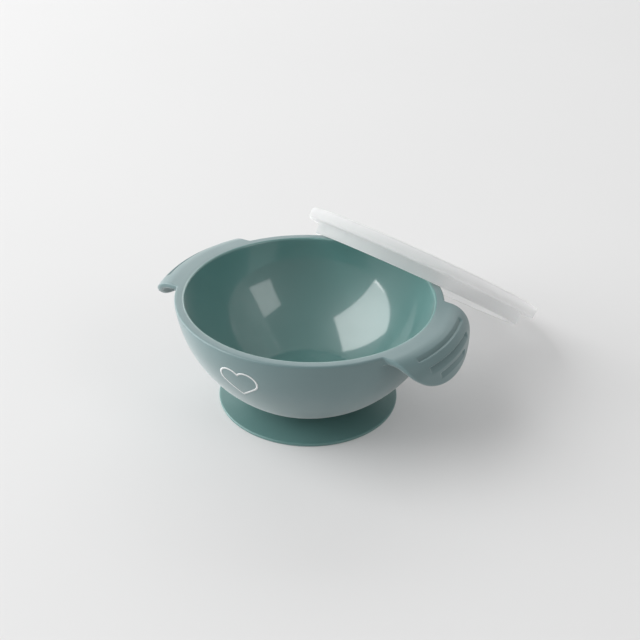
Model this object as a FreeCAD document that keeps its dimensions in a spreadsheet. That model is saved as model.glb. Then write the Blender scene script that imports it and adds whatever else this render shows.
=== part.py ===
import FreeCAD, Part
import math
import os
import Sketcher

# A child's feeding bowl with a suction base, two curled side handles and a leaning press-on lid.
#
# Frame: millimetres, +Z up.  The origin is the centre of the suction base on the table.  The two
# handles lie along +X and -X.  The lid stands behind the bowl (+Y): its far edge is on the table
# and its underside leans on the rim.
#
# The bowl, its handles, its pedestal and its suction disc are one silicone moulding on the real
# object.  They are separate bodies here that meet face to face, so that the wall, each handle and
# the flexing disc can be used and moved one by one.

SIZES = (
    # alias, millimetres or degrees, what it is
    ("rim_height", 55.3, "top of the rim above the table"),
    ("ball_height", 61.2, "centre of the two spheres that bound the wall"),
    ("ball_outer", 62.1, "radius of the wall's outer sphere"),
    ("ball_inner", 57.5, "radius of the wall's inner sphere"),
    ("floor_height", 9.2, "flat eating floor above the table"),
    ("floor_blend", 8.0, "blend between floor and wall, inside"),
    ("underside_height", 8.2, "flat underside of the wall above the table"),
    ("rim_round_inner", 1.2, "rounding of the rim's inner edge"),
    ("rim_round_outer", 0.5, "rounding of the rim's outer edge"),
    ("disc_radius", 43.0, "outer radius of the suction disc"),
    ("disc_edge", 1.7, "thickness of the disc's thin edge"),
    ("disc_edge_round", 0.6, "rounding of the disc's lower outer edge"),
    ("land_inner", 38.6, "inner radius of the flat sealing land"),
    ("cavity_height", 2.6, "height of the suction hollow at the middle"),
    ("hub_radius", 25.0, "radius where the disc meets the pedestal"),
    ("hub_height", 5.2, "top of the disc's hub above the table"),
    ("disc_sag", 60.0, "hollow radius of the disc's upper face"),
    ("pedestal_radius", 27.5, "radius of the pedestal under the wall"),
    ("pedestal_waist", 2.4, "radius of the pedestal's hollow waist"),
    ("handle_flat", 64.2, "radius where a handle starts to bend down"),
    ("handle_bend", 10.3, "outer radius of a handle's bend"),
    ("handle_turn", 83.0, "angle through which a handle bends down"),
    ("handle_wall", 3.0, "thickness of a handle"),
    ("handle_drop", 17.9, "drop from the rim to a handle's tip"),
    ("handle_half_width", 28.8, "half the width of a handle at the rim"),
    ("handle_sweep", 66.0, "angle swept by a handle before its outline is cut"),
    ("handle_round", 1.0, "rounding of a handle's cut outline"),
    ("top_groove_turn", 35.0, "turn of a handle's bend at its top grip groove"),
    ("top_groove_run", 0.0, "run from there to the groove's bottom"),
    ("top_groove_depth", 0.9, "depth of the top groove"),
    ("top_groove_upper", 2.0, "run of its upper flank"),
    ("top_groove_lower", 0.7, "run of its lower flank"),
    ("top_groove_sweep", 35.0, "angle that it spans"),
    ("middle_groove_turn", 61.7, "turn of a handle's bend at its middle grip groove"),
    ("middle_groove_run", 0.0, "run from there to the groove's bottom"),
    ("middle_groove_depth", 1.2, "depth of the middle groove"),
    ("middle_groove_upper", 0.4, "run of its upper flank"),
    ("middle_groove_lower", 3.0, "run of its lower flank"),
    ("middle_groove_sweep", 28.0, "angle that it spans"),
    ("low_groove_turn", 83.0, "turn of a handle's bend at its low grip groove"),
    ("low_groove_run", 1.3, "run from there to the groove's bottom"),
    ("low_groove_depth", 1.2, "depth of the low groove"),
    ("low_groove_upper", 0.3, "run of its upper flank"),
    ("low_groove_lower", 3.0, "run of its lower flank"),
    ("low_groove_sweep", 18.0, "angle that it spans"),
    ("lid_radius", 63.5, "outer radius of the lid"),
    ("lid_height", 11.5, "overall height of the lid"),
    ("lid_edge_round", 1.1, "rounding of the lid's lower outer edge"),
    ("flange_under", 6.1, "underside of the lid's flange above the plug's end"),
    ("flange_top", 7.7, "top of the lid's flange above the plug's end"),
    ("lip_inner", 61.9, "inner radius of the lid's raised lip"),
    ("lip_round", 0.6, "rounding of the lip's upper outer edge"),
    ("panel_under", 8.7, "underside of the lid's panel above the plug's end"),
    ("panel_top", 10.3, "top of the lid's panel above the plug's end"),
    ("plug_outer", 57.0, "outer radius of the lid's plug ring"),
    ("plug_inner", 55.4, "inner radius of the lid's plug ring"),
    ("plug_lead", 0.4, "lead-in at the plug ring's end"),
    ("lean_angle", 35.5, "tilt of the leaning lid from level"),
    ("lean_azimuth", 78.8, "direction in which the leaning lid slopes down"),
    ("lean_gap", 0.55, "clearance between the lid's panel and the rim it leans on"),
)

NEAR = 0.01  # millimetres between two sizes that count as equal

doc = FreeCAD.newDocument("suction_bowl")
sheet = doc.addObject("Spreadsheet::Sheet", "Sizes")
for row, (alias, number, meaning) in enumerate(SIZES, start=1):
    sheet.set(f"A{row}", meaning)
    sheet.set(f"B{row}", str(number))
    sheet.setAlias(f"B{row}", alias)
doc.recompute()


def value(formula):
    """The number that a formula on the sheet's cells gives."""
    return float(sheet.evalExpression(formula))


def on_ball(radius, height):
    """Formula for the distance from the axis of a sphere's surface at a height."""
    return f"sqrt({radius}^2 - ({height} - Sizes.ball_height)^2)"


def new_body(name):
    body = doc.addObject("PartDesign::Body", name)
    body.Label = name
    return body


def new_sketch(body, name, role):
    """An empty sketch on one of the body's own origin planes."""
    sketch = body.newObject("Sketcher::SketchObject", name)
    plane = next(item for item in body.Origin.OriginFeatures if item.Role == role)
    sketch.AttachmentSupport = (plane, "")
    sketch.MapMode = "FlatFace"
    return sketch


def dimension(sketch, kind, items, formula):
    """A driven size: one constraint of a sketch bound to a formula on the sheet."""
    index = sketch.addConstraint(Sketcher.Constraint(kind, *items, value(formula)))
    sketch.setExpression(f"Constraints[{index}]", formula)


def place_point(sketch, curve, end, across, up):
    """Hold one end of a curve at a distance across and up from the sketch's origin."""
    vertical_axis, horizontal_axis = -2, -1
    if value(across) == 0:
        sketch.addConstraint(Sketcher.Constraint("PointOnObject", curve, end, vertical_axis))
    else:
        dimension(sketch, "DistanceX", (-1, 1, curve, end), across)
    if value(up) == 0:
        sketch.addConstraint(Sketcher.Constraint("PointOnObject", curve, end, horizontal_axis))
    else:
        dimension(sketch, "DistanceY", (-1, 1, curve, end), up)


def arc_between(start, end, radius):
    """The short arc from start to end: anticlockwise for a radius above 0, clockwise below 0."""
    chord = end.sub(start)
    reach = math.sqrt(max(radius**2 - (chord.Length / 2) ** 2, 0.0))
    across = FreeCAD.Vector(-chord.y, chord.x, 0).normalize()
    centre = start.add(end).multiply(0.5).add(across.multiply(math.copysign(reach, radius)))
    first, last = (start, end) if radius > 0 else (end, start)
    angles = [math.atan2(point.y - centre.y, point.x - centre.x) for point in (first, last)]
    circle = Part.Circle(centre, FreeCAD.Vector(0, 0, 1), abs(radius))
    return Part.ArcOfCircle(circle, *angles)


def outline(sketch, corners):
    """A closed outline from corners (across, up, radius of the arc that leaves it, or None)."""
    points = [FreeCAD.Vector(value(across), value(up), 0) for across, up, _ in corners]
    starts, ends = [], []
    for number, (_, _, bend) in enumerate(corners):
        here, there = points[number], points[(number + 1) % len(points)]
        if bend is None:
            curve = sketch.addGeometry(Part.LineSegment(here, there), False)
            reverse = False
        else:
            curve = sketch.addGeometry(arc_between(here, there, value(bend)), False)
            reverse = value(bend) < 0
            dimension(sketch, "Radius", (curve,), f"abs({bend})")
        starts.append((curve, 2 if reverse else 1))
        ends.append((curve, 1 if reverse else 2))
    for number, (across, up, _) in enumerate(corners):
        sketch.addConstraint(Sketcher.Constraint("Coincident", *ends[number - 1], *starts[number]))
        place_point(sketch, *starts[number], across, up)


def revolve(body, kind, name, sketch, angle="360"):
    """A Revolution or a Groove of a sketch about its vertical axis, half the angle each way."""
    feature = body.newObject(kind, name)
    feature.Profile = (sketch, [""])
    feature.ReferenceAxis = (sketch, ["V_Axis"])
    feature.Midplane = angle != "360"
    feature.setExpression("Angle", angle)
    return feature


def make_bowl_shell():
    """The round bowl: a spherical wall with a level rim and a flat floor."""
    body = new_body("bowl_shell")
    profile = new_sketch(body, "wall_profile", "XZ_Plane")
    inner_top = "Sizes.rim_height - Sizes.rim_round_inner"
    outer_top = "Sizes.rim_height - Sizes.rim_round_outer"
    inner_edge = on_ball("Sizes.ball_inner", inner_top)
    outer_edge = on_ball("Sizes.ball_outer", outer_top)
    floor_edge = on_ball("Sizes.ball_inner", "Sizes.floor_height")
    under_edge = on_ball("Sizes.ball_outer", "Sizes.underside_height")
    outline(profile, (
        ("0", "Sizes.floor_height", None),
        (floor_edge, "Sizes.floor_height", "Sizes.ball_inner"),
        (inner_edge, inner_top, "-Sizes.rim_round_inner"),
        (f"{inner_edge} + Sizes.rim_round_inner", "Sizes.rim_height", None),
        (f"{outer_edge} - Sizes.rim_round_outer", "Sizes.rim_height", "-Sizes.rim_round_outer"),
        (outer_edge, outer_top, "-Sizes.ball_outer"),
        (under_edge, "Sizes.underside_height", None),
        ("0", "Sizes.underside_height", None),
    ))
    wall = revolve(body, "PartDesign::Revolution", "wall", profile)
    doc.recompute()
    blend = body.newObject("PartDesign::Fillet", "floor_blend")
    blend.Base = (wall, [edge_at(wall, value(floor_edge), value("Sizes.floor_height"))])
    blend.setExpression("Radius", "Sizes.floor_blend")
    return body


def edge_at(feature, radius, height):
    """Name of the feature's round edge about the Z axis with a radius, at a height."""
    for number, edge in enumerate(feature.Shape.Edges, start=1):
        round_edge = isinstance(edge.Curve, Part.Circle) and abs(edge.Curve.Radius - radius) < NEAR
        if round_edge and abs(edge.Curve.Center.z - height) < NEAR:
            return f"Edge{number}"
    raise RuntimeError(f"{feature.Name} has no edge of radius {radius} at {height}")


def on_bend(turn, run, lift):
    """Formulas for a point on a handle's section: where the bend has turned, past it, off it."""
    across = (f"Sizes.handle_flat + (Sizes.handle_bend + {lift}) * sin({turn})"
              f" + ({run}) * cos({turn})")
    up = (f"Sizes.rim_height - Sizes.handle_bend + (Sizes.handle_bend + {lift}) * cos({turn})"
          f" - ({run}) * sin({turn})")
    return across, up


def make_handle(name, direction):
    """A curled ear handle: a flange level with the rim that bends down, with grip grooves."""
    body = new_body(name)
    profile = new_sketch(body, f"{name}_section", "XZ_Plane")
    under = "Sizes.rim_height - Sizes.handle_wall"
    tail = "Sizes.handle_drop"
    outline(profile, (
        (on_ball("Sizes.ball_outer", "Sizes.rim_height"), "Sizes.rim_height", None),
        ("Sizes.handle_flat", "Sizes.rim_height", "-Sizes.handle_bend"),
        (*on_bend("Sizes.handle_turn", "0", "0"), None),
        (*on_bend("Sizes.handle_turn", tail, "0"), None),
        (*on_bend("Sizes.handle_turn", tail, "-Sizes.handle_wall"), None),
        (*on_bend("Sizes.handle_turn", "0", "-Sizes.handle_wall"),
         "Sizes.handle_bend - Sizes.handle_wall"),
        ("Sizes.handle_flat", under, None),
        (on_ball("Sizes.ball_outer", under), under, "Sizes.ball_outer"),
    ))
    revolve(body, "PartDesign::Revolution", f"{name}_flange", profile, "Sizes.handle_sweep")
    cut_outline(body, name)
    for groove in ("top_groove", "middle_groove", "low_groove"):
        cut_groove(body, name, groove)
    body.Placement = FreeCAD.Placement(
        FreeCAD.Vector(), FreeCAD.Rotation(FreeCAD.Vector(0, 0, 1), direction)
    )
    return body


def cut_groove(body, name, groove):
    """Cut a grip groove with two straight flanks round the outside of a handle's bend."""
    turn, run = f"Sizes.{groove}_turn", f"Sizes.{groove}_run"
    depth, sweep = f"Sizes.{groove}_depth", f"Sizes.{groove}_sweep"
    above = f"{run} - 2 * Sizes.{groove}_upper"
    below = f"{run} + 2 * Sizes.{groove}_lower"
    section = new_sketch(body, f"{name}_{groove}_section", "XZ_Plane")
    outline(section, (
        (*on_bend(turn, run, f"-{depth}"), None),
        (*on_bend(turn, below, depth), None),
        (*on_bend(turn, above, depth), None),
    ))
    revolve(body, "PartDesign::Groove", f"{name}_{groove}", section, sweep)


def cut_outline(body, name):
    """Cut a flange to a half ellipse, as seen from outside, and round the cut edges."""
    frame_margin = 24.0
    sketch = new_sketch(body, f"{name}_outline", "YZ_Plane")
    middle, half = value("Sizes.rim_height"), value("Sizes.handle_half_width")
    drop = value("Sizes.handle_drop")
    ellipse = sketch.addGeometry(Part.Ellipse(
        FreeCAD.Vector(half, middle, 0), FreeCAD.Vector(0, middle + drop, 0),
        FreeCAD.Vector(0, middle, 0)), False)
    sketch.exposeInternalGeometry(ellipse)
    place_point(sketch, ellipse, 3, "0", "Sizes.rim_height")
    sketch.addConstraint(Sketcher.Constraint("Horizontal", ellipse + 1))
    dimension(sketch, "Distance", (ellipse + 1,), "2 * Sizes.handle_half_width")
    dimension(sketch, "Distance", (ellipse + 2,), "2 * Sizes.handle_drop")
    side = f"Sizes.handle_half_width + {frame_margin}"
    low = f"Sizes.rim_height - Sizes.handle_drop - {frame_margin}"
    high = f"Sizes.rim_height + Sizes.handle_drop + {frame_margin}"
    outline(sketch, (
        (f"-({side})", low, None),
        (side, low, None),
        (side, high, None),
        (f"-({side})", high, None),
    ))
    pocket = body.newObject("PartDesign::Pocket", f"{name}_cut")
    pocket.Profile = (sketch, [""])
    pocket.Type = "ThroughAll"
    pocket.SideType = "Symmetric"
    doc.recompute()
    fillet = body.newObject("PartDesign::Fillet", f"{name}_round")
    fillet.Base = (pocket, cut_edges(pocket))
    fillet.setExpression("Radius", "Sizes.handle_round")
    doc.recompute()


def cut_edges(pocket):
    """Names of the edges where the elliptical cut meets the flange's outer and inner skins."""
    middle, half = value("Sizes.rim_height"), value("Sizes.handle_half_width")
    drop = value("Sizes.handle_drop")
    root = value(on_ball("Sizes.ball_outer", "Sizes.rim_height")) + NEAR
    names = []
    for number, edge in enumerate(pocket.Shape.Edges, start=1):
        points = edge.discretize(Number=5)
        on_cut = all(
            abs(math.hypot(point.y / half, (point.z - middle) / drop) - 1) < NEAR / drop
            for point in points
        )
        along_wall = all(math.hypot(point.x, point.y) < root for point in points)
        if on_cut and not along_wall:
            names.append(f"Edge{number}")
    return names


def make_pedestal():
    """The short waisted pedestal between the bowl and the suction disc."""
    body = new_body("pedestal")
    profile = new_sketch(body, "pedestal_profile", "XZ_Plane")
    outline(profile, (
        ("0", "Sizes.hub_height", None),
        ("Sizes.hub_radius", "Sizes.hub_height", "-Sizes.pedestal_waist"),
        ("Sizes.pedestal_radius", "Sizes.underside_height", None),
        ("0", "Sizes.underside_height", None),
    ))
    revolve(body, "PartDesign::Revolution", "pedestal_turned", profile)
    return body


def make_suction_disc():
    """The thin suction disc: a flat sealing land round a shallow domed hollow."""
    body = new_body("suction_disc")
    profile = new_sketch(body, "disc_profile", "XZ_Plane")
    dome = "(Sizes.land_inner^2 + Sizes.cavity_height^2) / (2 * Sizes.cavity_height)"
    outline(profile, (
        ("0", "Sizes.cavity_height", f"-({dome})"),
        ("Sizes.land_inner", "0", None),
        ("Sizes.disc_radius - Sizes.disc_edge_round", "0", "Sizes.disc_edge_round"),
        ("Sizes.disc_radius", "Sizes.disc_edge_round", None),
        ("Sizes.disc_radius", "Sizes.disc_edge - Sizes.disc_edge_round", "Sizes.disc_edge_round"),
        ("Sizes.disc_radius - Sizes.disc_edge_round", "Sizes.disc_edge", "-Sizes.disc_sag"),
        ("Sizes.hub_radius", "Sizes.hub_height", None),
        ("0", "Sizes.hub_height", None),
    ))
    revolve(body, "PartDesign::Revolution", "disc_turned", profile)
    return body


def make_lid():
    """The press-on lid: a panel on a plug ring, a flange that sits on the rim, a raised lip."""
    body = new_body("lid")
    profile = new_sketch(body, "lid_profile", "XZ_Plane")
    outline(profile, (
        ("0", "Sizes.panel_under", None),
        ("Sizes.plug_inner", "Sizes.panel_under", None),
        ("Sizes.plug_inner", "0", None),
        ("Sizes.plug_outer - Sizes.plug_lead", "0", None),
        ("Sizes.plug_outer", "Sizes.plug_lead", None),
        ("Sizes.plug_outer", "Sizes.flange_under", None),
        ("Sizes.lid_radius - Sizes.lid_edge_round", "Sizes.flange_under", "Sizes.lid_edge_round"),
        ("Sizes.lid_radius", "Sizes.flange_under + Sizes.lid_edge_round", None),
        ("Sizes.lid_radius", "Sizes.lid_height - Sizes.lip_round", "Sizes.lip_round"),
        ("Sizes.lid_radius - Sizes.lip_round", "Sizes.lid_height", None),
        ("Sizes.lip_inner", "Sizes.lid_height", None),
        ("Sizes.lip_inner", "Sizes.flange_top", None),
        ("Sizes.plug_outer", "Sizes.flange_top", None),
        ("Sizes.plug_outer", "Sizes.panel_top", None),
        ("0", "Sizes.panel_top", None),
    ))
    revolve(body, "PartDesign::Revolution", "lid_turned", profile)
    body.Placement = leaning_placement()
    return body


def leaning_placement():
    """Where the lid rests: its panel on the rim's outer edge, its plug ring's end on the table."""
    lean = math.radians(value("Sizes.lean_angle"))
    azimuth = math.radians(value("Sizes.lean_azimuth"))
    outward = FreeCAD.Vector(math.cos(azimuth), math.sin(azimuth), 0)
    upward = FreeCAD.Vector(0, 0, 1)
    normal = outward * math.sin(lean) + upward * math.cos(lean)
    down_slope = outward * math.cos(lean) - upward * math.sin(lean)
    rim_edge = (outward * value(on_ball("Sizes.ball_outer", "Sizes.rim_height"))
                + upward * value("Sizes.rim_height"))
    under_rim = value("Sizes.panel_under - Sizes.lean_gap")
    axis_over_rim = rim_edge - normal * under_rim
    plug_end = value("Sizes.plug_outer - Sizes.plug_lead") * math.sin(lean)
    slide = (axis_over_rim.z - plug_end) / math.sin(lean)
    turn = FreeCAD.Rotation(FreeCAD.Vector(-math.sin(azimuth), math.cos(azimuth), 0),
                            value("Sizes.lean_angle"))
    return FreeCAD.Placement(axis_over_rim + down_slope * slide, turn)


parts = [
    make_bowl_shell(),
    make_handle("right_handle", 0),
    make_handle("left_handle", 180),
    make_pedestal(),
    make_suction_disc(),
    make_lid(),
]
doc.recompute()

for item in doc.Objects:
    if {"Invalid", "Error"} & set(item.State):
        raise RuntimeError(f"{item.Name} failed: {item.State}")
for part in parts:
    if part.Shape.isNull() or not part.Shape.isValid() or len(part.Shape.Solids) != 1:
        raise RuntimeError(f"{part.Label} has no single valid solid")

os.makedirs("parts", exist_ok=True)
for part in parts:
    part.Shape.exportStep(os.path.join("parts", f"{part.Label}.step"))
    print(f"{part.Label}: {part.Shape.Volume / 1000:.1f} cm3")
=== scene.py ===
"""A child's suction bowl with two curled handles and a frosted lid that leans on its rim.

Metres, +Z up.  The origin is the centre of the suction base on the table, and the handles lie
along +X and -X.
"""
import math

import bmesh
import bpy
import numpy as np
from mathutils import Matrix, Vector


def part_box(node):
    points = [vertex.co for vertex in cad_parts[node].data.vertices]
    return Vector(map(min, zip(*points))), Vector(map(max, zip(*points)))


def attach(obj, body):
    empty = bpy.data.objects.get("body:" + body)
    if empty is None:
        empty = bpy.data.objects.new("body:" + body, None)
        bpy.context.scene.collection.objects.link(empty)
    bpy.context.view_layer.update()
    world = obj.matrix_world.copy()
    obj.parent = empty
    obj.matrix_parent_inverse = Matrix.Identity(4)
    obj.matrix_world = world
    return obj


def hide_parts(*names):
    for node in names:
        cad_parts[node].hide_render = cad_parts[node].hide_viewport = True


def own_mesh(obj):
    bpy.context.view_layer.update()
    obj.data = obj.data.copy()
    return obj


MM = 0.001
UP = Vector((0, 0, 1))

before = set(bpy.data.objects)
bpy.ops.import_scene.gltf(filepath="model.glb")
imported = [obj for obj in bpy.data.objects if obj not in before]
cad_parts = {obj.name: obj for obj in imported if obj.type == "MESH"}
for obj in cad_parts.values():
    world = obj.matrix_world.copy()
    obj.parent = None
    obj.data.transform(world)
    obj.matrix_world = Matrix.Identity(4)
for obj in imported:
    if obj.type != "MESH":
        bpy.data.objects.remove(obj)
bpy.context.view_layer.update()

# ------------------------------------------------------------------ sizes read from the frame

shell_low, shell_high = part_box("bowl_shell")
RIM_HEIGHT = shell_high.z
UNDERSIDE = shell_low.z
disc_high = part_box("suction_disc")[1]
DISC_RADIUS = disc_high.x
HUB_HEIGHT = disc_high.z
handle_low, handle_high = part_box("right_handle")
HANDLE_HALF_WIDTH = handle_high.y
HANDLE_DROP = handle_high.z - handle_low.z

# ------------------------------------------------------------------ the moulding's other sizes

BALL_HEIGHT = 61.2 * MM
BALL = (0.0, BALL_HEIGHT)  # centre of both of the wall's spheres
BALL_OUTER = 62.1 * MM
BALL_INNER = 57.5 * MM
FLOOR_HEIGHT = 9.2 * MM
FLOOR_BLEND = 8.0 * MM
RIM_ROUND_INNER = 1.1 * MM
RIM_ROUND_OUTER = 0.8 * MM
UNDERSIDE_ROUND = 3.0 * MM
PEDESTAL_RADIUS = 27.5 * MM
PEDESTAL_WAIST = 2.4 * MM  # how far the pedestal's rounded waist draws in from that radius

BEND_START = 64.2 * MM  # distance from the axis where a handle starts to bend down
BEND_RADIUS = 10.3 * MM
BEND_TURN = math.radians(83)
BEND_LENGTH = BEND_RADIUS * BEND_TURN
HANDLE_WALL = 3.0 * MM
ROOT_ROUND = 2.5 * MM  # fillet between a handle's underside and the bowl's wall
NOTCH_SOFTNESS = 0.5 * MM  # how gently a handle's side runs into the rim

# Grip grooves: run past the bend's start, upper flank, lower flank, depth, half angle.
GROOVES = (
    (6.3 * MM, 2.0 * MM, 0.7 * MM, 0.9 * MM, math.radians(17.5)),
    (11.1 * MM, 0.4 * MM, 3.0 * MM, 1.2 * MM, math.radians(14)),
    (16.2 * MM, 0.3 * MM, 3.0 * MM, 1.2 * MM, math.radians(9)),
)
GROOVE_END_RAMP = math.radians(0.8)

# Columns of the moulding's grid, as angles about Z from a handle's middle: most of the handle lies
# within the first angle, its sides run into the rim before the second, and the plain rim follows.
HANDLE_MIDDLE = math.radians(22)
HANDLE_SPAN = math.radians(30)
COLUMNS_HANDLE = 88
COLUMNS_SIDE = 24
COLUMNS_BETWEEN = 60

# Rows of a handle's section: along its skin before, over and after the grooves, round its nose,
# along its underside and round the root fillet.
SKIN_STEPS = (6, 80, 8)
NOSE_STEPS = 10
UNDER_STEPS = 14
ROOT_STEPS = 6
HANDLE_STEPS = (sum(SKIN_STEPS), NOSE_STEPS, UNDER_STEPS + ROOT_STEPS)
PLAIN_STEPS = (1, 4, 5)  # the rim's edge away from the handles: top, rounding, wall
GROOVE_ZONE = (4.0 * MM, 20.0 * MM)  # the runs between which the skin's rows are dense
ZONE_MARGIN = 1.0 * MM  # least run between that zone and the nose

# Where the search for a handle's outline starts and ends, and how often it halves the stretch.
SEARCH_BELOW = 15 * MM
SEARCH_END = 30 * MM
SEARCH_HALVINGS = 40

# ------------------------------------------------------------------ the disc's other sizes

LAND_WIDTH = 4.4 * MM  # the flat ring that seals on the table
HOLLOW_HEIGHT = 2.6 * MM
DISC_EDGE = 1.6 * MM
DISC_EDGE_ROUND = 0.6 * MM
CONE_BOW = 60 * MM  # radius of the slight bow of the disc's conical top
DISC_COLUMNS = 160

# ------------------------------------------------------------------ the lid's sizes

PLUG_INNER = 55.4 * MM  # radii about the lid's own axis
PLUG_OUTER = 57.0 * MM
LIP_INNER = 61.9 * MM
LID_RADIUS = 63.5 * MM
FLANGE_UNDERSIDE = 6.1 * MM  # heights above the plug ring's foot
FLANGE_TOP = 7.7 * MM
PANEL_UNDERSIDE = 8.7 * MM
PANEL_TOP = 10.3 * MM
LIP_TOP = 11.5 * MM
LID_COLUMNS = 200

# ------------------------------------------------------------------ the printed heart's sizes

HEART_LOBE = 5.0 * MM  # radius of each round lobe
HEART_HALF_GAP = 4.0 * MM  # from the heart's middle line to a lobe's centre
HEART_TIP = -10.5 * MM  # height of the tip from the lobes' centres
HEART_LIFT = 1.3 * MM  # how far the lobes' centres lie above the heart's place on the wall
HEART_HEIGHT = 40 * MM
HEART_AZIMUTH = math.radians(-88)
PRINT_WIDTH = 0.9 * MM
PRINT_FILM = 0.05 * MM

# ------------------------------------------------------------------ shades, camera and lights

# Base colours: two near shades each, between which a noise wanders.
GREEN_OUTSIDE = ((0.110, 0.190, 0.196), (0.118, 0.200, 0.206))
GREEN_INSIDE = ((0.070, 0.204, 0.193), (0.075, 0.214, 0.202))
GREEN_DISC = ((0.086, 0.199, 0.189), (0.092, 0.208, 0.198))
LID_WHITE = ((0.83, 0.83, 0.83), (0.85, 0.85, 0.85))
INK_WHITE = ((0.62, 0.65, 0.65), (0.72, 0.74, 0.74))
TABLE_GREY = ((0.565, 0.565, 0.565), (0.575, 0.575, 0.575))
LID_THROUGH = (0.955, 0.955, 0.955, 1)  # tint of the light that passes through the lid
LID_TRANSLUCENCE = 0.78
WHITE = (1, 1, 1, 1)
# Strength of the table's even glow: painted light that lifts the cast shadows on it.
TABLE_SHADOW_LIFT = 0.13
SILICONE_GLOSS = (0.44, 0.5)  # ranges of roughness
LID_GLOSS = (0.42, 0.5)
GRAIN_HEIGHT = 0.02 * MM

CAMERA_AZIMUTH = math.radians(31.5)
CAMERA_ELEVATION = math.radians(30.77)
CAMERA_ROLL = math.radians(1.35)
CAMERA_LENS = 56.25  # millimetres, as is the sensor's width
SENSOR_WIDTH = 36
CAMERA_DISTANCE = 0.472
CAMERA_AIM = Vector((0, 0, 0.030))
CAMERA_SHIFT = (0.00523, 0.00943)  # to the right and up

TABLE_HALF = 4.0
TABLE_DROP = 0.05 * MM  # keeps the table's top just clear of the disc's flat ring
ROOM_LIGHT = 0.39


# ------------------------------------------------------------------ outlines: (radius, height)

def arc(centre, radius, start, end, steps):
    """Points on an arc from one angle to another, in degrees, both ends included."""
    turns = np.radians(np.linspace(start, end, steps + 1))
    return np.column_stack((centre[0] + radius * np.cos(turns), centre[1] + radius * np.sin(turns)))


def line(start, end, steps):
    """Evenly spaced points from start to end, both included."""
    return np.linspace(start, end, steps + 1)


def join(*stretches):
    """One outline from stretches that meet end to end."""
    return np.vstack([stretches[0]] + [stretch[1:] for stretch in stretches[1:]])


def bearing(centre, point):
    """Direction from a centre to a point, in degrees."""
    return math.degrees(math.atan2(point[1] - centre[1], point[0] - centre[0]))


def on_ball(radius, height):
    """Distance from the axis of a ball's surface at a height."""
    return math.sqrt(radius ** 2 - (height - BALL_HEIGHT) ** 2)


def rounded(corners, steps=5, support=0.08 * MM):
    """Outline through corners (radius, height, rounding), with a support point by each rounding."""
    points = [np.array(corners[0][:2], float)]
    for before, here, after in zip(corners, corners[1:], corners[2:]):
        corner = np.array(here[:2], float)
        towards = [np.array(other[:2], float) - corner for other in (before, after)]
        units = [way / np.linalg.norm(way) for way in towards]
        half = math.acos(np.clip(units[0] @ units[1], -1, 1)) / 2
        setback = here[2] / math.tan(half)
        middle = (units[0] + units[1]) / np.linalg.norm(units[0] + units[1])
        centre = corner + middle * here[2] / math.sin(half)
        first = bearing(centre, corner + units[0] * setback)
        last = bearing(centre, corner + units[1] * setback)
        last = first + (last - first + 180) % 360 - 180
        points.append(corner + units[0] * (setback + support))
        points.extend(arc(centre, here[2], first, last, steps))
        points.append(corner + units[1] * (setback + support))
    points.append(np.array(corners[-1][:2], float))
    return np.array(points)


# ------------------------------------------------------------------ places

def placed(axes, origin):
    """The matrix of a frame with these three axes and this origin."""
    matrix = Matrix(axes).transposed().to_4x4()
    matrix.translation = origin
    return matrix


def facing_axes(back, roll):
    """Axes of something that looks away from the direction back: right, up, back."""
    level = UP.cross(back).normalized()
    right = level * math.cos(roll) + back.cross(level) * math.sin(roll)
    return right, back.cross(right), back


# ------------------------------------------------------------------ meshes

def new_piece(name, points, faces, materials, face_materials=None):
    """A smooth-shaded mesh object whose faces all look outwards."""
    mesh = bpy.data.meshes.new(name)
    mesh.from_pydata([tuple(point) for point in points], [], faces)
    for material in materials:
        mesh.materials.append(material)
    if face_materials is not None:
        mesh.polygons.foreach_set("material_index", face_materials)
    mesh.polygons.foreach_set("use_smooth", [True] * len(mesh.polygons))
    mesh.validate()
    shape = bmesh.new()
    shape.from_mesh(mesh)
    bmesh.ops.recalc_face_normals(shape, faces=shape.faces)
    shape.to_mesh(mesh)
    shape.free()
    piece = bpy.data.objects.new(name, mesh)
    bpy.context.scene.collection.objects.link(piece)
    return piece


def turned(name, outline, columns, material):
    """A solid of revolution about Z whose outline starts and ends on the axis."""
    ring_count = len(outline) - 2
    turns = np.linspace(0, 2 * math.pi, columns, endpoint=False)
    points = [(0, 0, outline[0][1])]
    for radius, height in outline[1:-1]:
        points += [(radius * math.cos(turn), radius * math.sin(turn), height) for turn in turns]
    points.append((0, 0, outline[-1][1]))
    faces = []
    for column in range(columns):
        after = (column + 1) % columns
        faces.append((0, 1 + after, 1 + column))
        for ring in range(ring_count - 1):
            here, there = 1 + ring * columns, 1 + (ring + 1) * columns
            faces.append((here + column, here + after, there + after, there + column))
        last = 1 + (ring_count - 1) * columns
        faces.append((last + column, last + after, len(points) - 1))
    return new_piece(name, points, faces, [material])


# ------------------------------------------------------------------ the silicone moulding

def inside_outline():
    """From the floor's middle up the inner wall and over the rim's inner edge."""
    blend_height = FLOOR_HEIGHT + FLOOR_BLEND
    blend = (on_ball(BALL_INNER - FLOOR_BLEND, blend_height), blend_height)
    edge_height = RIM_HEIGHT - RIM_ROUND_INNER
    edge = (on_ball(BALL_INNER + RIM_ROUND_INNER, edge_height), edge_height)
    wall_start = bearing(BALL, blend)
    wall_end = bearing(BALL, edge)
    return join(
        line((0, FLOOR_HEIGHT), (blend[0], FLOOR_HEIGHT), steps=8),
        arc(blend, FLOOR_BLEND, -90, wall_start, steps=12),
        arc(BALL, BALL_INNER, wall_start, wall_end, steps=24),
        arc(edge, RIM_ROUND_INNER, wall_end + 180, 90, steps=6),
    )


def root_round_centre():
    """Centre of the fillet between a handle's underside and the outer wall."""
    height = RIM_HEIGHT - HANDLE_WALL - ROOT_ROUND
    return on_ball(BALL_OUTER + ROOT_ROUND, height), height


def root_foot():
    """Where that fillet meets the outer wall."""
    centre = np.array(root_round_centre())
    return BALL + (centre - BALL) * BALL_OUTER / (BALL_OUTER + ROOT_ROUND)


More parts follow.
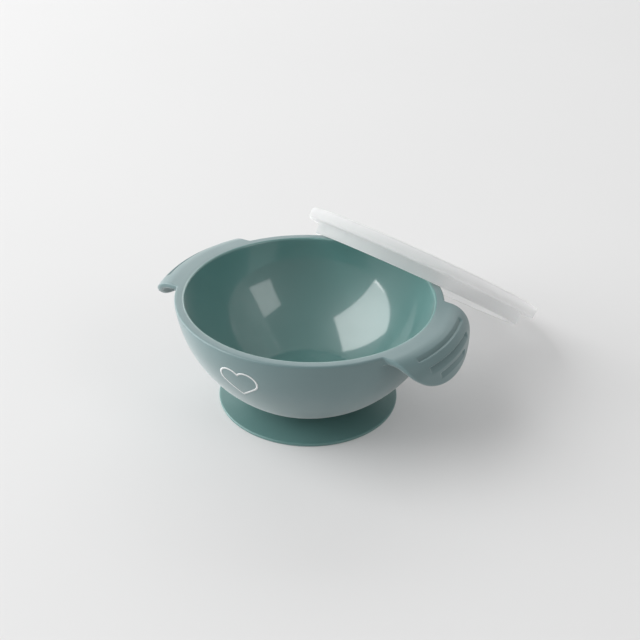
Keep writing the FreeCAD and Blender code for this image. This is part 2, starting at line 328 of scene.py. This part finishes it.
def outside_outline():
    """From the foot of the root fillet down the outer wall, under it and down to the hub."""
    round_height = UNDERSIDE + UNDERSIDE_ROUND
    round_centre = (on_ball(BALL_OUTER - UNDERSIDE_ROUND, round_height), round_height)
    wall_end = bearing(BALL, round_centre)
    waist_centre = (PEDESTAL_RADIUS, UNDERSIDE - PEDESTAL_WAIST)
    waist = PEDESTAL_RADIUS - PEDESTAL_WAIST
    return join(
        arc(BALL, BALL_OUTER, bearing(BALL, root_foot()), wall_end, steps=24),
        arc(round_centre, UNDERSIDE_ROUND, wall_end, -90, steps=6),
        line((round_centre[0], UNDERSIDE), (PEDESTAL_RADIUS, UNDERSIDE), steps=2),
        arc(waist_centre, PEDESTAL_WAIST, 90, 180, steps=6),
        line((waist, waist_centre[1]), (waist, HUB_HEIGHT), steps=1),
        line((waist, HUB_HEIGHT), (0, HUB_HEIGHT), steps=4),
    )


def flange_point(run, depth):
    """Point of a handle's section, at a run past the bend's start and a depth under the skin."""
    turn = min(max(run / BEND_RADIUS, 0.0), BEND_TURN)
    level = min(run, 0.0)
    beyond = max(run - BEND_LENGTH, 0.0)
    radius = BEND_RADIUS - depth
    return np.array((
        BEND_START + level + radius * math.sin(turn) + beyond * math.cos(turn),
        RIM_HEIGHT - BEND_RADIUS + radius * math.cos(turn) - beyond * math.sin(turn),
    ))


EDGE_START = np.array((60.2 * MM, RIM_HEIGHT))  # on the rim's flat top, inside its outer rounding
NOSE = HANDLE_WALL / 2  # radius of a handle's rounded tip

# Runs along a handle's skin: to the plain wall, to the root fillet, and of the shortest handle.
WALL_RUN = on_ball(BALL_OUTER, RIM_HEIGHT) - BEND_START
ROOT_RUN = root_round_centre()[0] - BEND_START
LEAST_RUN = ROOT_RUN + NOSE


def plain_edge(steps):
    """The rim's outer edge away from the handles, from the rim's top to the root fillet's foot."""
    height = RIM_HEIGHT - RIM_ROUND_OUTER
    centre = (on_ball(BALL_OUTER - RIM_ROUND_OUTER, height), height)
    side = bearing(BALL, centre)
    return join(
        line(EDGE_START, (centre[0], RIM_HEIGHT), steps[0]),
        arc(centre, RIM_ROUND_OUTER, 90, side, steps[1]),
        arc(BALL, BALL_OUTER, side, bearing(BALL, root_foot()), steps[2]),
    )


def handle_reach(turn):
    """Run along a handle's skin to its elliptical outline at an angle from the handle's middle."""
    def outside(run):
        radius, height = flange_point(run, 0.0)
        across = radius * math.sin(turn) / HANDLE_HALF_WIDTH
        down = (RIM_HEIGHT - height) / HANDLE_DROP
        return across ** 2 + down ** 2 > 1

    low, high = WALL_RUN - SEARCH_BELOW, SEARCH_END
    for _ in range(SEARCH_HALVINGS):
        middle = (low + high) / 2
        if outside(middle):
            high = middle
        else:
            low = middle
    return low


def groove_depth(run, turn):
    """How far the grip grooves lie under a handle's skin."""
    depth = 0.0
    for place, upper, lower, deepest, half_angle in GROOVES:
        along = run - place
        flank = 1 + along / upper if along < 0 else 1 - along / lower
        inside = (half_angle - abs(turn)) / GROOVE_END_RAMP
        depth = max(depth, deepest * min(max(flank, 0.0), 1.0) * min(max(inside, 0.0), 1.0))
    return depth


def handle_edge(reach, turn):
    """A handle's section, from the rim's top round its tip and back to the root fillet's foot."""
    tip = max(reach, LEAST_RUN) - NOSE
    start = EDGE_START[0] - BEND_START
    shrink = min(1.0, (tip - start) / (GROOVE_ZONE[1] + ZONE_MARGIN - start))
    zone = [start + (edge - start) * shrink for edge in GROOVE_ZONE]
    runs = np.concatenate((
        np.linspace(start, zone[0], SKIN_STEPS[0], endpoint=False),
        np.linspace(zone[0], zone[1], SKIN_STEPS[1], endpoint=False),
        np.linspace(zone[1], tip, SKIN_STEPS[2] + 1),
    ))
    skin = np.array([flange_point(run, groove_depth(run, turn)) for run in runs])
    middle = flange_point(tip, NOSE)
    facing = bearing(middle, flange_point(tip, 0.0))
    under_runs = np.linspace(tip, ROOT_RUN, UNDER_STEPS + 1)
    root = root_round_centre()
    section = join(
        skin,
        arc(middle, NOSE, facing, facing - 180, NOSE_STEPS),
        np.array([flange_point(run, HANDLE_WALL) for run in under_runs]),
        arc(root, ROOT_ROUND, 90, bearing(root, root_foot()), ROOT_STEPS),
    )
    grown = min(1.0, (reach - WALL_RUN) / (LEAST_RUN - WALL_RUN))
    return plain_edge(HANDLE_STEPS) * (1 - grown) + section * grown


def softened_reach(turn):
    """A handle's reach, run gently into the rim at the handle's two sides."""
    grown = (handle_reach(turn) - WALL_RUN) / NOTCH_SOFTNESS
    return WALL_RUN + NOTCH_SOFTNESS * float(np.logaddexp(0.0, grown))


def plain_row(row):
    """The row of the plain rim edge that a row of a handle's section meets beside a handle."""
    first, second, third = HANDLE_STEPS
    if row <= first:
        return round(row / first * PLAIN_STEPS[0])
    if row <= first + second:
        return PLAIN_STEPS[0] + round((row - first) / second * PLAIN_STEPS[1])
    return sum(PLAIN_STEPS[:2]) + round((row - first - second) / third * PLAIN_STEPS[2])


def column_turns():
    """The grid's columns round the bowl: (angle about Z, angle from a handle's middle or None)."""
    side = np.linspace(-HANDLE_SPAN, -HANDLE_MIDDLE, COLUMNS_SIDE, endpoint=False)[1:]
    middle = np.linspace(-HANDLE_MIDDLE, HANDLE_MIDDLE, COLUMNS_HANDLE, endpoint=False)
    handle = np.concatenate((side, middle, [HANDLE_MIDDLE], -side[::-1]))
    between = np.linspace(HANDLE_SPAN, math.pi - HANDLE_SPAN, COLUMNS_BETWEEN, endpoint=False)
    columns = []
    for half_turn in (0, math.pi):
        columns.append((half_turn - HANDLE_SPAN, None))
        columns += [(half_turn + turn, turn) for turn in handle]
        columns += [(half_turn + turn, None) for turn in between]
    return columns


def moulding(outside_material, inside_material):
    """Wall, rim, handles and pedestal as the one seamless piece that they are."""
    inside = inside_outline()[1:]
    outside = outside_outline()[1:-1]
    plain = plain_edge(PLAIN_STEPS)
    points = [(0, 0, FLOOR_HEIGHT), (0, 0, HUB_HEIGHT)]
    columns = []  # for each, its rows inside, round the edge and outside
    for turn, from_handle in column_turns():
        if from_handle is None:
            edge = plain
        else:
            edge = handle_edge(softened_reach(abs(from_handle)), from_handle)
        first = len(points)
        for radius, height in np.vstack((inside, edge, outside)):
            points.append((radius * math.cos(turn), radius * math.sin(turn), height))
        rows = list(range(first, len(points)))
        edge_end = len(inside) + len(edge)
        columns.append((rows[:len(inside)], rows[len(inside):edge_end], rows[edge_end:]))

    faces, face_materials = [], []
    edge_rows = sum(HANDLE_STEPS) + 1
    for here, there in zip(columns, columns[1:] + columns[:1]):
        edges = [here[1], there[1]]
        if len(edges[0]) != len(edges[1]):
            edges = [
                edge if len(edge) == edge_rows
                else [edge[plain_row(row)] for row in range(edge_rows)]
                for edge in edges
            ]
        left = [0] + here[0] + edges[0] + here[2] + [1]
        right = [0] + there[0] + edges[1] + there[2] + [1]
        for row in range(len(left) - 1):
            corners = (left[row], left[row + 1], right[row + 1], right[row])
            face = tuple(dict.fromkeys(corners))
            if len(face) > 2:
                faces.append(face)
                face_materials.append(int(row < len(inside)))
    materials = [outside_material, inside_material]
    return new_piece("silicone_bowl", points, faces, materials, face_materials)


def disc_outline():
    """The suction disc: its hollow's dome, flat sealing land, thin edge, conical top and hub."""
    land_inner = DISC_RADIUS - LAND_WIDTH
    dome = (land_inner ** 2 + HOLLOW_HEIGHT ** 2) / (2 * HOLLOW_HEIGHT)
    dome_centre = (0.0, HOLLOW_HEIGHT - dome)
    tip = DISC_RADIUS - DISC_EDGE_ROUND
    edge_top = DISC_EDGE - DISC_EDGE_ROUND
    cone_start = np.array((tip, DISC_EDGE))
    cone_end = np.array((PEDESTAL_RADIUS - PEDESTAL_WAIST, HUB_HEIGHT))
    chord = cone_end - cone_start
    across = np.array((-chord[1], chord[0])) / np.linalg.norm(chord)
    rise = math.sqrt(CONE_BOW ** 2 - chord @ chord / 4)
    centre = (cone_start + cone_end) / 2 - across * rise
    first = bearing(centre, cone_start)
    last = bearing(centre, cone_end)
    return join(
        arc(dome_centre, dome, 90, bearing(dome_centre, (land_inner, 0)), steps=16),
        line((land_inner, 0), (tip, 0), steps=3),
        arc((tip, DISC_EDGE_ROUND), DISC_EDGE_ROUND, -90, 0, steps=4),
        line((DISC_RADIUS, DISC_EDGE_ROUND), (DISC_RADIUS, edge_top), steps=1),
        arc((tip, edge_top), DISC_EDGE_ROUND, 0, 90, steps=4),
        arc(centre, CONE_BOW, first, last, steps=14),
        line(cone_end, (0, HUB_HEIGHT), steps=5),
    )


# ------------------------------------------------------------------ the lid

def lid_outline():
    """The lid on its own axis, from its underside round the plug ring and the lip to its top."""
    return rounded((
        (0, PANEL_UNDERSIDE, 0),
        (PLUG_INNER, PANEL_UNDERSIDE, 0.8 * MM),
        (PLUG_INNER, 0, 0.5 * MM),
        (PLUG_OUTER, 0, 0.7 * MM),
        (PLUG_OUTER, FLANGE_UNDERSIDE, 0.5 * MM),
        (LID_RADIUS, FLANGE_UNDERSIDE, 1.1 * MM),
        (LID_RADIUS, LIP_TOP, 0.9 * MM),
        (LIP_INNER, LIP_TOP, 0.45 * MM),
        (LIP_INNER, FLANGE_TOP, 0.8 * MM),
        (PLUG_OUTER, FLANGE_TOP, 0.8 * MM),
        (PLUG_OUTER, PANEL_TOP, 0.9 * MM),
        (0, PANEL_TOP, 0),
    ))


def lid_place():
    """The leaning lid's own frame, read from the flat faces and the extent of its CAD solid."""
    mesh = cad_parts["lid"].data
    normal = max(mesh.polygons, key=lambda face: face.area).normal.copy()
    if normal.z < 0:
        normal.negate()
    level = UP.cross(normal).normalized()
    slope = normal.cross(level)
    corners = np.array([vertex.co for vertex in mesh.vertices])
    middle = Vector((0, 0, 0))
    for axis in (level, slope):
        reach = corners @ np.array(axis)
        middle += axis * float(reach.min() + reach.max()) / 2
    middle += normal * float((corners @ np.array(normal)).min())
    return placed((level, slope, normal), middle)


# ------------------------------------------------------------------ the printed heart

def heart_curve():
    """A plain closed heart: two round lobes, a notch between them and straight sides to a tip."""
    to_tip = math.hypot(HEART_HALF_GAP, HEART_TIP)
    lean = math.degrees(math.asin(HEART_LOBE / to_tip) + math.atan2(HEART_HALF_GAP, -HEART_TIP))
    notch = math.degrees(math.acos(-HEART_HALF_GAP / HEART_LOBE))
    lobe = arc((HEART_HALF_GAP, 0.0), HEART_LOBE, notch, -lean, steps=24)
    right = join(lobe, line(lobe[-1], (0.0, HEART_TIP), steps=8))
    left = right[-2:0:-1] * np.array((-1, 1))
    return np.vstack((right, left)) + np.array((0.0, HEART_LIFT))


def printed_heart(material):
    """The heart as one thin printed line on the front of the outer wall."""
    latitude = math.asin((HEART_HEIGHT - BALL_HEIGHT) / BALL_OUTER)
    curve = heart_curve()
    along = np.roll(curve, -1, axis=0) - np.roll(curve, 1, axis=0)
    along /= np.linalg.norm(along, axis=1)[:, None]
    step = np.roll(curve, -1, axis=0) - curve
    step /= np.linalg.norm(step, axis=1)[:, None]
    mitre = (along * step).sum(axis=1)[:, None]
    sideways = np.column_stack((-along[:, 1], along[:, 0])) * PRINT_WIDTH / 2 / mitre
    front = BALL_OUTER + PRINT_FILM
    corners = ((-1, BALL_OUTER), (1, BALL_OUTER), (1, front), (-1, front))
    points = []
    for side, radius in corners:
        for u, v in curve + sideways * side:
            tilt = latitude + v / BALL_OUTER
            turn = HEART_AZIMUTH + u / (BALL_OUTER * math.cos(latitude))
            points.append((radius * math.cos(tilt) * math.cos(turn),
                           radius * math.cos(tilt) * math.sin(turn),
                           BALL_HEIGHT + radius * math.sin(tilt)))
    count = len(curve)
    faces = []
    for ring in range(len(corners)):
        here, there = ring * count, (ring + 1) % len(corners) * count
        for place in range(count):
            after = (place + 1) % count
            faces.append((here + place, here + after, there + after, there + place))
    return new_piece("heart_print", points, faces, [material])


# ------------------------------------------------------------------ materials

def new_material(name):
    """A new node material, with its nodes, its links and its Principled shader."""
    material = bpy.data.materials.new(name)
    material.use_nodes = True
    nodes, links = material.node_tree.nodes, material.node_tree.links
    return material, nodes, links, nodes["Principled BSDF"]


def noise(nodes, links, scale, detail=3.0):
    """A noise in the object's own coordinates, in features per metre."""
    place = nodes.new("ShaderNodeTexCoord")
    texture = nodes.new("ShaderNodeTexNoise")
    texture.inputs["Scale"].default_value = scale
    texture.inputs["Detail"].default_value = detail
    texture.inputs["Roughness"].default_value = 0.5
    links.new(place.outputs["Object"], texture.inputs["Vector"])
    return texture.outputs["Fac"]


def spread(nodes, links, source, low, high):
    """Maps a noise's middle range onto low to high."""
    scale = nodes.new("ShaderNodeMapRange")
    scale.inputs["From Min"].default_value = 0.3
    scale.inputs["From Max"].default_value = 0.7
    scale.inputs["To Min"].default_value = low
    scale.inputs["To Max"].default_value = high
    links.new(source, scale.inputs["Value"])
    return scale.outputs["Result"]


def two_colours(nodes, links, source, first, second):
    """A colour that wanders between two near shades as a noise does."""
    mix = nodes.new("ShaderNodeMix")
    mix.data_type = "RGBA"
    mix.inputs["A"].default_value = (*first, 1)
    mix.inputs["B"].default_value = (*second, 1)
    links.new(spread(nodes, links, source, 0, 1), mix.inputs["Factor"])
    return mix.outputs["Result"]


def bump(nodes, links, grain, strength):
    """Surface relief from a grain."""
    relief = nodes.new("ShaderNodeBump")
    relief.inputs["Strength"].default_value = strength
    relief.inputs["Distance"].default_value = GRAIN_HEIGHT
    links.new(grain, relief.inputs["Height"])
    return relief.outputs["Normal"]


def silicone(name, shades, grain, bloom, polish=0.0):
    """Moulded silicone: two near shades, and the strengths of its fine grain, bloom and polish."""
    material, nodes, links, shader = new_material(name)
    cloud = noise(nodes, links, scale=35)
    fine = noise(nodes, links, scale=900, detail=2)
    patches = noise(nodes, links, scale=120)
    links.new(two_colours(nodes, links, cloud, *shades), shader.inputs["Base Color"])
    links.new(spread(nodes, links, patches, *SILICONE_GLOSS), shader.inputs["Roughness"])
    links.new(bump(nodes, links, fine, grain), shader.inputs["Normal"])
    shader.inputs["IOR"].default_value = 1.45
    shader.inputs["Specular IOR Level"].default_value = 1.0
    shader.inputs["Sheen Weight"].default_value = bloom
    shader.inputs["Sheen Roughness"].default_value = 0.4
    shader.inputs["Coat Weight"].default_value = polish
    shader.inputs["Coat Roughness"].default_value = 0.08
    shader.inputs["Coat IOR"].default_value = 1.66
    return material


def frosted_plastic():
    """Milky translucent plastic with a fine frosted face."""
    material, nodes, links, shader = new_material("frosted_plastic")
    cloud = noise(nodes, links, scale=60)
    fine = noise(nodes, links, scale=1500, detail=2)
    links.new(two_colours(nodes, links, cloud, *LID_WHITE), shader.inputs["Base Color"])
    links.new(spread(nodes, links, fine, *LID_GLOSS), shader.inputs["Roughness"])
    links.new(bump(nodes, links, fine, strength=0.15), shader.inputs["Normal"])
    shader.inputs["IOR"].default_value = 1.49
    glow = nodes.new("ShaderNodeBsdfTranslucent")
    glow.inputs["Color"].default_value = LID_THROUGH
    blend = nodes.new("ShaderNodeMixShader")
    blend.inputs["Fac"].default_value = LID_TRANSLUCENCE
    links.new(shader.outputs["BSDF"], blend.inputs[1])
    links.new(glow.outputs["BSDF"], blend.inputs[2])
    links.new(blend.outputs["Shader"], nodes["Material Output"].inputs["Surface"])
    return material


def print_ink():
    """Flat white printing ink, a little uneven."""
    material, nodes, links, shader = new_material("print_ink")
    cloud = noise(nodes, links, scale=800)
    links.new(two_colours(nodes, links, cloud, *INK_WHITE), shader.inputs["Base Color"])
    shader.inputs["Roughness"].default_value = 0.5
    return material


def table_surface():
    """Pale matt table surface with an even glow: painted light that lifts its cast shadows."""
    material, nodes, links, shader = new_material("studio_floor")
    cloud = noise(nodes, links, scale=3)
    links.new(two_colours(nodes, links, cloud, *TABLE_GREY), shader.inputs["Base Color"])
    shader.inputs["Roughness"].default_value = 0.7
    shader.inputs["Emission Color"].default_value = WHITE
    # Painted light: the table glows evenly, which lifts the cast shadows on it.
    shader.inputs["Emission Strength"].default_value = TABLE_SHADOW_LIFT
    return material


# ------------------------------------------------------------------ the studio

def add_camera():
    """The camera, with the bowl a little low and left of the middle of its frame."""
    level_reach = math.cos(CAMERA_ELEVATION)
    back = Vector((
        math.sin(CAMERA_AZIMUTH) * level_reach,
        -math.cos(CAMERA_AZIMUTH) * level_reach,
        math.sin(CAMERA_ELEVATION),
    ))
    right, up, back = facing_axes(back, CAMERA_ROLL)
    place = CAMERA_AIM + back * CAMERA_DISTANCE + right * CAMERA_SHIFT[0] + up * CAMERA_SHIFT[1]
    camera = bpy.data.objects.new("camera", bpy.data.cameras.new("camera"))
    camera.data.lens = CAMERA_LENS
    camera.data.sensor_width = SENSOR_WIDTH
    camera.matrix_world = placed((right, up, back), place)
    bpy.context.scene.collection.objects.link(camera)
    bpy.context.scene.camera = camera


def add_softbox(name, place, aim, size, radiance, roll=0.0):
    """A rectangular softbox at a place, facing a point, of an even radiance."""
    back = (Vector(place) - Vector(aim)).normalized()
    light = bpy.data.lights.new(name, "AREA")
    light.shape = "RECTANGLE"
    light.size, light.size_y = size
    light.energy = radiance * math.pi * size[0] * size[1]
    lamp = bpy.data.objects.new(name, light)
    lamp.matrix_world = placed(facing_axes(back, roll), place)
    bpy.context.scene.collection.objects.link(lamp)


def add_studio():
    """A pale table, four softboxes round it and soft light from the room."""
    ends = ((-1, -1), (1, -1), (1, 1), (-1, 1))
    corners = [(TABLE_HALF * x, TABLE_HALF * y, -TABLE_DROP) for x, y in ends]
    floor = new_piece("studio_floor", corners, [(0, 1, 2, 3)], [table_surface()])
    add_softbox("key", place=(-1.4, -0.89, 1.51), aim=(0, 0.53, 0.55), size=(1.87, 2.16),
                radiance=3.8, roll=math.radians(-10.7))
    add_softbox("fill", place=(1.66, -0.084, 1.174), aim=(-0.12, -0.52, 0.37), size=(0.85, 1.0),
                radiance=2.0, roll=math.radians(-9.7))
    add_softbox("side", place=(-2.6, -0.8, 0.37), aim=(0, 0, 0.05), size=(4.0, 0.6), radiance=8.0)
    add_softbox("back", place=(-1.35, 2.25, 1.5), aim=(0, 0, 0), size=(3.8, 1.7), radiance=1.7)
    world = bpy.data.worlds.new("room")
    world.use_nodes = True
    background = world.node_tree.nodes["Background"]
    background.inputs["Color"].default_value = WHITE
    background.inputs["Strength"].default_value = ROOM_LIGHT
    bpy.context.scene.world = world
    bpy.context.scene.view_settings.view_transform = "Standard"


# ------------------------------------------------------------------ the object

outside_silicone = silicone("silicone_satin", GREEN_OUTSIDE, grain=0.25, bloom=0.5)
inside_silicone = silicone("silicone_polished", GREEN_INSIDE, grain=0.05, bloom=0.25, polish=1.0)
disc_silicone = silicone("silicone_disc", GREEN_DISC, grain=0.2, bloom=0.4)

bowl = moulding(outside_silicone, inside_silicone)
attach(bowl, "bowl")
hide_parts("bowl_shell", "left_handle", "right_handle", "pedestal")

disc = turned("suction_disc_soft", disc_outline(), DISC_COLUMNS, disc_silicone)
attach(disc, "suction_base")
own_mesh(disc)
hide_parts("suction_disc")

lid = turned("frosted_lid", lid_outline(), LID_COLUMNS, frosted_plastic())
lid.data.transform(lid_place())
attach(lid, "lid")
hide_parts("lid")

heart = printed_heart(print_ink())
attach(heart, "bowl")

add_studio()
add_camera()
